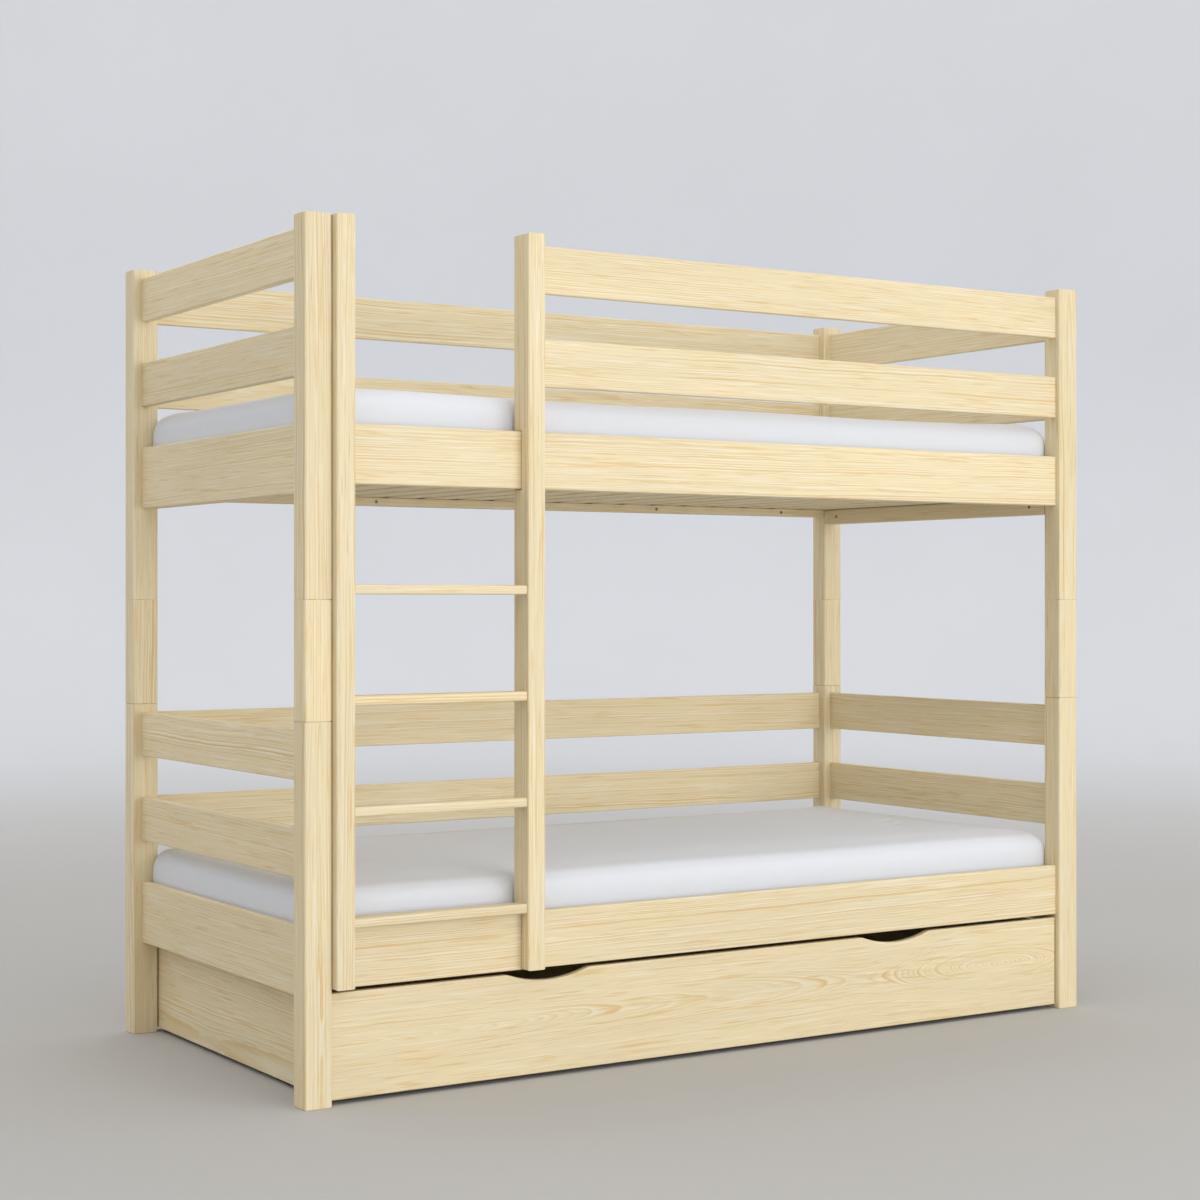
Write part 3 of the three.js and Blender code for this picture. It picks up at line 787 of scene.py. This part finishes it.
def slat_material(level):
    """Planed pine whose figure changes from slat to slat."""
    look = bpy.context.scene.bunk_bed.pine
    places, pitch = slat_places()
    low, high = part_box(f"{level}_slat_base")
    material, tree, shader = new_material(f"slat_pine_{level}")
    along_bed = split_xyz(tree, object_place(tree))["X"]
    from_first = calc(tree, "SUBTRACT", along_bed, places[0] - pitch / 2)
    count = calc(tree, "FLOOR", calc(tree, "DIVIDE", from_first, pitch))
    number = calc(tree, "ADD", count, 10.0 * LEVELS.index(level))
    chance = add_node(tree, "ShaderNodeTexWhiteNoise", {"W": number},
                      noise_dimensions="1D").outputs["Value"]
    middle_x = calc(tree, "ADD", calc(tree, "MULTIPLY", count, pitch), places[0])
    middle = join_xyz(tree, middle_x, (low.y + high.y) / 2, (low.z + high.z) / 2)
    pith = join_xyz(tree, y=smooth_step(tree, chance, 0, 1, 0.03, 0.13),
                    z=smooth_step(tree, chance, 0, 1, 0.11, 0.04))
    grain = place_group(tree, pine_grain_group(), {
        "Middle": middle,
        "Turn": GRAIN_TURNS["y"],
        "Pith": pith,
        "Lean": (0, 0.02, 0.01),
        "Ring width": look.ring_width,
        "Seed": number,
        "Contrast": look.contrast * 0.9,
        "Spring": rgba(look.spring_colour, 0.97),
        "Summer": rgba(look.summer_colour),
        "Pale": rgba(look.pale_colour),
        "Roughness": 0.62,
    })
    set_surface(tree, shader, grain["Colour"], grain["Roughness"], grain["Height"],
                strength=0.4, distance=0.4 * MM)
    return material


def webbing_material():
    """Undyed webbing tape with a crosswise rib."""
    material, tree, shader = new_material("webbing_tape")
    parts = split_xyz(tree, object_place(tree))
    rib = calc(tree, "SINE", calc(tree, "MULTIPLY", parts["X"], 2 * math.pi / TAPE_RIB))
    warp = calc(tree, "SINE", calc(tree, "MULTIPLY", parts["Y"], 2 * math.pi / TAPE_WARP))
    weave = calc(tree, "MULTIPLY", rib, warp)
    colour = blend_colours(tree, smooth_step(tree, weave, -1, 1), (0.62, 0.60, 0.54, 1),
                           (0.78, 0.76, 0.70, 1))
    set_surface(tree, shader, colour, smooth_step(tree, weave, -1, 1, 0.95, 0.8), weave,
                strength=0.5)
    return material


def make_slat_base(level):
    """The slats of one bed and the two tapes stapled on them."""
    look = bpy.context.scene.bunk_bed.slats
    node = f"{level}_slat_base"
    low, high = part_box(node)
    places, _ = slat_places()
    bm = bmesh.new()
    for x in places:
        add_eased_box(
            bm,
            Vector((x - look.slat_width / 2, low.y, low.z)),
            Vector((x + look.slat_width / 2, high.y, high.z - look.tape_thickness)),
            "y", look.slat_round)
    slats = new_piece(f"{level}_slats", bm, slat_material(level))
    smooth_piece(slats)
    ride_bed(slats, "slat_pine", node)

    bm = bmesh.new()
    staples = bmesh.new()
    for y in (low.y + look.tape_inset, high.y - look.tape_inset):
        add_tape(bm, places, y, high.z - look.tape_thickness)
        for x in places:
            for side in (-1, 1):
                middle = Vector((x + side * STAPLE_OFFSET, y, high.z))
                add_box(staples, middle - STAPLE_HALF_SIZE, middle + STAPLE_HALF_SIZE)
    tapes = new_piece(f"{level}_slat_tapes", bm, webbing_material())
    ride_bed(tapes, "mattress_fabric")
    ride_bed(new_piece(f"{level}_tape_staples", staples, screw_steel_material()), "zinc_steel")


def add_tape(bm, places, y, z):
    """A webbing strip over the slats that sags a little between them."""
    look = bpy.context.scene.bunk_bed.slats
    start = places[0] - look.slat_width / 4
    end = places[-1] + look.slat_width / 4
    pitch = places[1] - places[0]
    steps = TAPE_STEPS_PER_SLAT * (len(places) - 1)
    rings = []
    for i in range(steps + 1):
        x = start + (end - start) * i / steps
        between = abs(((x - places[0]) / pitch + 0.5) % 1.0 - 0.5) * pitch
        gap = (pitch - look.slat_width) / 2
        into_gap = max(0.0, between - look.slat_width / 2) / gap
        sag = TAPE_SAG * math.sin(into_gap * math.pi / 2) ** 2
        ring = []
        for side, top in ((-1, 0), (1, 0), (1, 1), (-1, 1)):
            ring.append(bm.verts.new((x, y + side * look.tape_width / 2,
                                      z - sag + top * look.tape_thickness)))
        rings.append(ring)
    for first, second in zip(rings, rings[1:]):
        for k in range(4):
            bm.faces.new((first[k], first[(k + 1) % 4], second[(k + 1) % 4], second[k]))
    bm.faces.new(rings[0])
    bm.faces.new(reversed(rings[-1]))
    bmesh.ops.recalc_face_normals(bm, faces=bm.faces)


# ---------------------------------------------------------------- mattresses


def cotton_material(name, seed):
    """Plain-woven cotton in two scales of bump: the soft cover and its threads."""
    look = bpy.context.scene.bunk_bed.mattress
    material, tree, shader = new_material(name)
    cloth = place_group(tree, cotton_weave_group(), {
        "Colour": rgba(look.cover_colour), "Thread": THREAD, "Seed": seed})
    set_surface(tree, shader, cloth["Colour"], cloth["Roughness"])
    soft = add_node(tree, "ShaderNodeBump",
                    {"Height": cloth["Soft height"], "Strength": 0.2, "Distance": 3 * MM})
    fine = add_node(tree, "ShaderNodeBump",
                    {"Height": cloth["Thread height"], "Strength": 0.3, "Distance": 0.15 * MM,
                     "Normal": soft.outputs[0]})
    tree.links.new(fine.outputs[0], shader.inputs["Normal"])
    shader.inputs["Sheen Weight"].default_value = 0.15
    shader.inputs["Specular IOR Level"].default_value = 0.2
    return material


def rounded_block(name, low, high):
    """A closed block with rounded corners and long edges, remeshed into even faces."""
    look = bpy.context.scene.bunk_bed.mattress
    bm = bmesh.new()
    upright = edges_along(add_box(bm, low, high), 2)
    bmesh.ops.bevel(bm, geom=upright, offset=look.corner_round, segments=8, profile=0.5,
                    affect="EDGES")
    flat = [e for e in bm.edges
            if abs(e.verts[0].co.z - e.verts[1].co.z) < 1e-6 and len(e.link_faces) == 2
            and abs(e.link_faces[0].normal.z - e.link_faces[1].normal.z) > 0.5]
    bmesh.ops.bevel(bm, geom=flat, offset=look.edge_round, segments=6, profile=0.5, affect="EDGES")
    block = new_piece(name, bm, None)
    remesh = block.modifiers.new("Even faces", "REMESH")
    remesh.mode = "VOXEL"
    remesh.voxel_size = look.voxel
    apply_modifiers(block)
    return block


def apply_modifiers(piece):
    """Turns what the modifiers make into the piece's own mesh."""
    graph = bpy.context.evaluated_depsgraph_get()
    shaped = bpy.data.meshes.new_from_object(piece.evaluated_get(graph))
    old = piece.data
    piece.modifiers.clear()
    piece.data = shaped
    bpy.data.meshes.remove(old)


def coordinates(mesh, kind="co"):
    """The places of a mesh's vertices, or their normals, as rows of three numbers."""
    flat = np.empty(len(mesh.vertices) * 3, np.float64)
    mesh.vertices.foreach_get(kind, flat)
    return flat.reshape(-1, 3)


def fill_with_foam(block):
    """Blows the cover up against its own cloth, with the underside held flat."""
    look = bpy.context.scene.bunk_bed.mattress
    before = coordinates(block.data)
    normals = coordinates(block.data, "normal")
    floor = before[:, 2].min()
    held = block.vertex_groups.new(name="underside")
    low_points = np.nonzero(before[:, 2] < floor + look.voxel * 0.6)[0]
    held.add([int(i) for i in low_points], 1.0, "REPLACE")
    cloth = block.modifiers.new("Cover", "CLOTH")
    cloth.settings.quality = 4
    cloth.settings.mass = 0.3
    cloth.settings.tension_stiffness = 12
    cloth.settings.compression_stiffness = 12
    cloth.settings.shear_stiffness = 5
    cloth.settings.bending_stiffness = 0.6
    cloth.settings.use_pressure = True
    cloth.settings.uniform_pressure_force = look.pressure
    cloth.settings.effector_weights.gravity = 0.0
    cloth.settings.vertex_group_mass = held.name
    cloth.collision_settings.use_collision = False
    cloth.point_cache.frame_start = 1
    cloth.point_cache.frame_end = FILLING_FRAMES
    scene = bpy.context.scene
    for step in range(1, FILLING_FRAMES + 1):
        scene.frame_set(step)
    apply_modifiers(block)
    scene.frame_set(1)
    block.vertex_groups.clear()
    moved = coordinates(block.data) - before
    length = np.linalg.norm(moved, axis=1, keepdims=True)
    outwards = (moved * normals).sum(axis=1, keepdims=True) > 0
    most = np.where(outwards, look.swell, look.draw_in)
    capped = before + moved * np.minimum(1.0, most / np.maximum(length, 1e-9))
    block.data.vertices.foreach_set("co", capped.ravel())


def press_in(block, level, low, high):
    """Holds the cover inside its place and presses it in round the posts and the ladder."""
    look = bpy.context.scene.bunk_bed.mattress
    points = coordinates(block.data)
    middle_x = (low.x + high.x) / 2
    points[:, 0] = np.clip(points[:, 0], low.x - look.press_gap, high.x + look.press_gap)
    points[:, 1] = np.clip(points[:, 1], low.y - look.press_gap, high.y + look.press_gap)
    obstacles = [f"{level}_post_{corner}" for corner in CORNERS]
    obstacles += ["ladder_stile_left", "ladder_stile_right"]
    for name in obstacles:
        near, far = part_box(name)
        x0, x1 = near.x - look.press_gap, far.x + look.press_gap
        y0, y1 = near.y - look.press_gap, far.y + look.press_gap
        inside = ((points[:, 0] > x0) & (points[:, 0] < x1)
                  & (points[:, 1] > y0) & (points[:, 1] < y1))
        exit_y = np.where(points[:, 1] < 0, y1, y0)
        exit_x = np.where(points[:, 0] < middle_x, x1, x0)
        by_y = np.abs(exit_y - points[:, 1]) <= np.abs(exit_x - points[:, 0])
        by_y |= name.startswith("ladder")
        points[:, 1] = np.where(inside & by_y, exit_y, points[:, 1])
        points[:, 0] = np.where(inside & ~by_y, exit_x, points[:, 0])
    block.data.vertices.foreach_set("co", points.ravel())


def crease(block, low, high, seed):
    """Faint creases that fan out on the top near both ends, and a soft unevenness."""
    look = bpy.context.scene.bunk_bed.mattress
    draw = random.Random(seed)
    points = coordinates(block.data)
    size = np.array(high - low)
    centre = np.array((low + high) / 2)
    top = np.clip((points[:, 2] - centre[2]) / (size[2] / 2), 0, 1) ** 2
    lift = np.zeros(len(points))
    for end in (-1, 1):
        for _ in range(CREASES_PER_END):
            start = np.array((centre[0] + end * (size[0] / 2 - draw.uniform(*CREASE_FROM_END)),
                              centre[1] + draw.uniform(*CREASE_ASIDE)))
            angle = draw.uniform(*CREASE_ANGLE) * draw.choice((-1, -1, 1))
            way = np.array((-end * math.cos(angle), math.sin(angle)))
            length = draw.uniform(*CREASE_LENGTH)
            width = draw.uniform(*CREASE_WIDTH)
            depth = look.crease_depth * draw.uniform(0.5, 1.0)
            offset = points[:, :2] - start
            run = offset @ way
            across = offset @ np.array((-way[1], way[0])) + CREASE_BOW * run ** 2
            fade = np.sin(np.clip(run / length, 0, 1) * math.pi) ** 2
            lift -= depth * np.exp(-((across / width) ** 2)) * fade
    waves = np.sin(points[:, 0] * 7.1 + seed) * np.sin(points[:, 1] * 9.3 + 2.0 * seed)
    lift += UNEVENNESS * waves
    points[:, 2] += lift * top
    block.data.vertices.foreach_set("co", points.ravel())


def make_mattress(level):
    """One padded mattress in place of its plain block."""
    look = bpy.context.scene.bunk_bed.mattress
    node = f"{level}_mattress"
    low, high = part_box(node)
    start_low = low + Vector((0, look.swell * 0.4, 0))
    start_high = high - Vector((0, look.swell * 0.4, look.swell * 0.6))
    piece = rounded_block(f"{level}_mattress_cover", start_low, start_high)
    fill_with_foam(piece)
    piece.modifiers.new("Finer", "SUBSURF").levels = 1
    apply_modifiers(piece)
    press_in(piece, level, low, high)
    crease(piece, low, high, 3 + LEVELS.index(level))
    piece.data.materials.append(cotton_material(f"cotton_{level}", 5.0 * LEVELS.index(level)))
    piece.data.polygons.foreach_set("use_smooth", [True] * len(piece.data.polygons))
    ride_bed(piece, "mattress_fabric", node)


# ---------------------------------------------------------------- drawer


def plastic_material():
    """Moulded black plastic with a fine grain and scuffs on the tread."""
    material, tree, shader = new_material("wheel_plastic")
    place = object_place(tree)
    scuff = scaled_noise(tree, place, (300, 90, 90), 4.0)
    fine = scaled_noise(tree, place, (2200, 2200, 2200))
    colour = blend_colours(tree, smooth_step(tree, scuff, 0.45, 0.75), (0.018, 0.018, 0.020, 1),
                           (0.060, 0.058, 0.055, 1))
    set_surface(tree, shader, colour, smooth_step(tree, scuff, 0.3, 0.7, 0.38, 0.62), fine,
                distance=0.1 * MM)
    return material


def zinc_material():
    """Zinc-plated sheet steel with a faint spangle."""
    material, tree, shader = new_material("zinc_sheet")
    place = object_place(tree)
    spangle = add_node(tree, "ShaderNodeTexVoronoi",
                       {"Vector": place, "Scale": 260.0}).outputs["Distance"]
    haze = scaled_noise(tree, place, (500, 500, 500), 3.0)
    colour = blend_colours(tree, smooth_step(tree, spangle, 0.1, 0.8), (0.50, 0.51, 0.53, 1),
                           (0.62, 0.63, 0.65, 1))
    set_surface(tree, shader, colour, smooth_step(tree, haze, 0.3, 0.7, 0.32, 0.5))
    shader.inputs["Metallic"].default_value = 0.95
    return material


# ---------------------------------------------------------------- stage


def studio_material():
    """Matte painted studio floor, with an unevenness too faint to read as a pattern."""
    look = bpy.context.scene.bunk_bed.stage
    material, tree, shader = new_material("studio_floor")
    place = object_place(tree)
    distance = length_of(tree, vector_calc(tree, "MULTIPLY", place, (1, 1, 0)))
    cloud = scaled_noise(tree, place, (0.8, 0.8, 0.8))
    colour = blend_colours(tree, smooth_step(tree, distance, 2.5, 11.0),
                           rgba(look.floor_colour), rgba(look.backdrop_colour))
    colour = shade_colour(tree, colour, smooth_step(tree, cloud, 0.3, 0.7, 0.985, 1.0))
    tree.links.new(colour, shader.inputs["Base Color"])
    shader.inputs["Roughness"].default_value = 0.9
    shader.inputs["Specular IOR Level"].default_value = 0.1
    return material


def make_floor(steps=96, arc_steps=12):
    """A round floor whose rim rises all round, so that no view meets a horizon."""
    profile = [(FLOOR_RADIUS, 0.0)]
    for i in range(1, arc_steps + 1):
        angle = i / arc_steps * math.pi / 2
        profile.append((FLOOR_RADIUS + RIM_RADIUS * math.sin(angle),
                        RIM_RADIUS * (1 - math.cos(angle))))
    profile.append((FLOOR_RADIUS + RIM_RADIUS, RIM_TOP))
    bm = bmesh.new()
    centre = bm.verts.new((0, 0, 0))
    rings = [[bm.verts.new((r * math.cos(2 * math.pi * k / steps),
                            r * math.sin(2 * math.pi * k / steps), z)) for k in range(steps)]
             for r, z in profile]
    for k in range(steps):
        after = (k + 1) % steps
        bm.faces.new((centre, rings[0][k], rings[0][after]))
        for inner, outer in zip(rings, rings[1:]):
            bm.faces.new((inner[k], outer[k], outer[after], inner[after]))
    floor = new_piece("studio_floor", bm, studio_material())
    floor.data.polygons.foreach_set("use_smooth", [True] * len(floor.data.polygons))


def make_lights():
    """A large soft key at the front right, and an even light from all round."""
    look = bpy.context.scene.bunk_bed.stage
    key_data = bpy.data.lights.new("key", "AREA")
    key_data.shape = "RECTANGLE"
    key_data.size, key_data.size_y = KEY_SIZE
    key_data.energy = look.key_power
    key = bpy.data.objects.new("key", key_data)
    key.location = KEY_PLACE
    key.rotation_euler = (KEY_TARGET - KEY_PLACE).to_track_quat("-Z", "Y").to_euler()
    key.visible_camera = False
    bpy.context.scene.collection.objects.link(key)
    world = bpy.data.worlds.new("studio_light")
    world.use_nodes = True
    sky = world.node_tree.nodes["Background"]
    sky.inputs["Color"].default_value = SKY_COLOUR
    sky.inputs["Strength"].default_value = look.sky_strength
    bpy.context.scene.world = world


def make_camera():
    """A level camera off the front left corner of the bed."""
    look = bpy.context.scene.bunk_bed.stage
    camera_data = bpy.data.cameras.new("camera")
    camera_data.lens = look.camera_lens
    camera_data.sensor_width = 36.0
    camera = bpy.data.objects.new("camera", camera_data)
    camera.location = look.camera_place
    camera.rotation_euler = (math.pi / 2, 0, look.camera_heading)
    bpy.context.scene.collection.objects.link(camera)
    bpy.context.scene.camera = camera


# ---------------------------------------------------------------- operators


class BUNKBED_OT_posts(Operator):
    """Finish the twelve pieces of the corner posts in pine"""

    bl_idname = "bunk_bed.posts"
    bl_label = "Posts"

    def execute(self, context):
        for section in ("lower", "spacer", "upper"):
            for corner in CORNERS:
                finish_pine_node(f"{section}_post_{corner}")
        return {"FINISHED"}


class BUNKBED_OT_boards(Operator):
    """Finish the end, back and guard boards in pine"""

    bl_idname = "bunk_bed.boards"
    bl_label = "Boards"

    def execute(self, context):
        sides = [f"{level}_{side}_board" for level in LEVELS for side in ("back", "left", "right")]
        for board in [*sides, "upper_guard_board"]:
            for row in ("low", "top"):
                finish_pine_node(f"{board}_{row}")
        return {"FINISHED"}


class BUNKBED_OT_rails(Operator):
    """Make the rails, the ledges inside them and the ledges' screws"""

    bl_idname = "bunk_bed.rails"
    bl_label = "Rails and ledges"

    def execute(self, context):
        look = context.scene.bunk_bed.slats
        steel = screw_steel_material()
        for level in LEVELS:
            for side in RAIL_SIDES:
                make_rail(f"{level}_{side}_rail")
            bm = bmesh.new()
            for place, facing in screw_rows(level):
                add_screw_head(bm, place, facing, look.screw_radius)
            ride_bed(new_piece(f"{level}_ledge_screws", bm, steel), "zinc_steel")
        return {"FINISHED"}


class BUNKBED_OT_slat_bases(Operator):
    """Make the slats, their webbing tapes and the staples"""

    bl_idname = "bunk_bed.slat_bases"
    bl_label = "Slat bases"

    def execute(self, context):
        for level in LEVELS:
            make_slat_base(level)
        return {"FINISHED"}


class BUNKBED_OT_mattresses(Operator):
    """Make the two padded mattresses by filling their covers"""

    bl_idname = "bunk_bed.mattresses"
    bl_label = "Mattresses"

    def execute(self, context):
        for level in LEVELS:
            make_mattress(level)
        return {"FINISHED"}


class BUNKBED_OT_ladder(Operator):
    """Finish the ladder's stiles and rungs in pine"""

    bl_idname = "bunk_bed.ladder"
    bl_label = "Ladder"

    def execute(self, context):
        for name in frame["nodes"]:
            if name.startswith("ladder_"):
                finish_pine_node(name)
        return {"FINISHED"}


class BUNKBED_OT_drawer(Operator):
    """Finish the drawer's front, walls and bottom panel"""

    bl_idname = "bunk_bed.drawer"
    bl_label = "Drawer"

    def execute(self, context):
        finish_pine_node("drawer_front", rings=0.6)
        for name in ("drawer_left_side", "drawer_right_side", "drawer_back"):
            finish_pine_node(name)
        finish_pine_node("drawer_bottom", rings=3.0)
        return {"FINISHED"}


class BUNKBED_OT_wheels(Operator):
    """Finish the drawer's wheels and brackets"""

    bl_idname = "bunk_bed.wheels"
    bl_label = "Wheels"

    def execute(self, context):
        plastic = plastic_material()
        zinc = zinc_material()
        for corner in CORNERS:
            finish_node(f"drawer_wheel_{corner}", plastic, TURNED_CRISP_ANGLE)
            finish_node(f"wheel_bracket_{corner}", zinc, TURNED_CRISP_ANGLE)
        return {"FINISHED"}


class BUNKBED_OT_stage(Operator):
    """Make the floor, the lights and the camera"""

    bl_idname = "bunk_bed.stage"
    bl_label = "Stage"

    def execute(self, context):
        context.scene.view_settings.view_transform = "Standard"
        make_camera()
        make_floor()
        make_lights()
        return {"FINISHED"}


class BUNKBED_PT_panel(Panel):
    """The bunk bed's pieces and settings"""

    bl_idname = "BUNKBED_PT_panel"
    bl_label = "Bunk bed"
    bl_space_type = "VIEW_3D"
    bl_region_type = "UI"
    bl_category = "Bunk bed"

    def draw(self, context):
        settings = context.scene.bunk_bed
        for operator in OPERATORS:
            self.layout.operator(operator.bl_idname)
        for group in (settings.pine, settings.slats, settings.mattress, settings.stage):
            box = self.layout.box()
            for key in group.__annotations__:
                box.prop(group, key)


OPERATORS = (
    BUNKBED_OT_stage,
    BUNKBED_OT_posts,
    BUNKBED_OT_boards,
    BUNKBED_OT_rails,
    BUNKBED_OT_slat_bases,
    BUNKBED_OT_mattresses,
    BUNKBED_OT_ladder,
    BUNKBED_OT_drawer,
    BUNKBED_OT_wheels,
)
SETTINGS = (
    BunkPineSettings,
    BunkSlatSettings,
    BunkMattressSettings,
    BunkStageSettings,
    BunkBedSettings,
)


def register():
    for cls in (*SETTINGS, *OPERATORS, BUNKBED_PT_panel):
        bpy.utils.register_class(cls)
    bpy.types.Scene.bunk_bed = PointerProperty(type=BunkBedSettings)


def unregister():
    del bpy.types.Scene.bunk_bed
    for cls in reversed((*SETTINGS, *OPERATORS, BUNKBED_PT_panel)):
        bpy.utils.unregister_class(cls)


def main():
    register()
    bpy.ops.bunk_bed.stage()
    bpy.ops.bunk_bed.posts()
    bpy.ops.bunk_bed.boards()
    bpy.ops.bunk_bed.rails()
    bpy.ops.bunk_bed.slat_bases()
    bpy.ops.bunk_bed.mattresses()
    bpy.ops.bunk_bed.ladder()
    bpy.ops.bunk_bed.drawer()
    bpy.ops.bunk_bed.wheels()


if __name__ == "__main__":
    main()
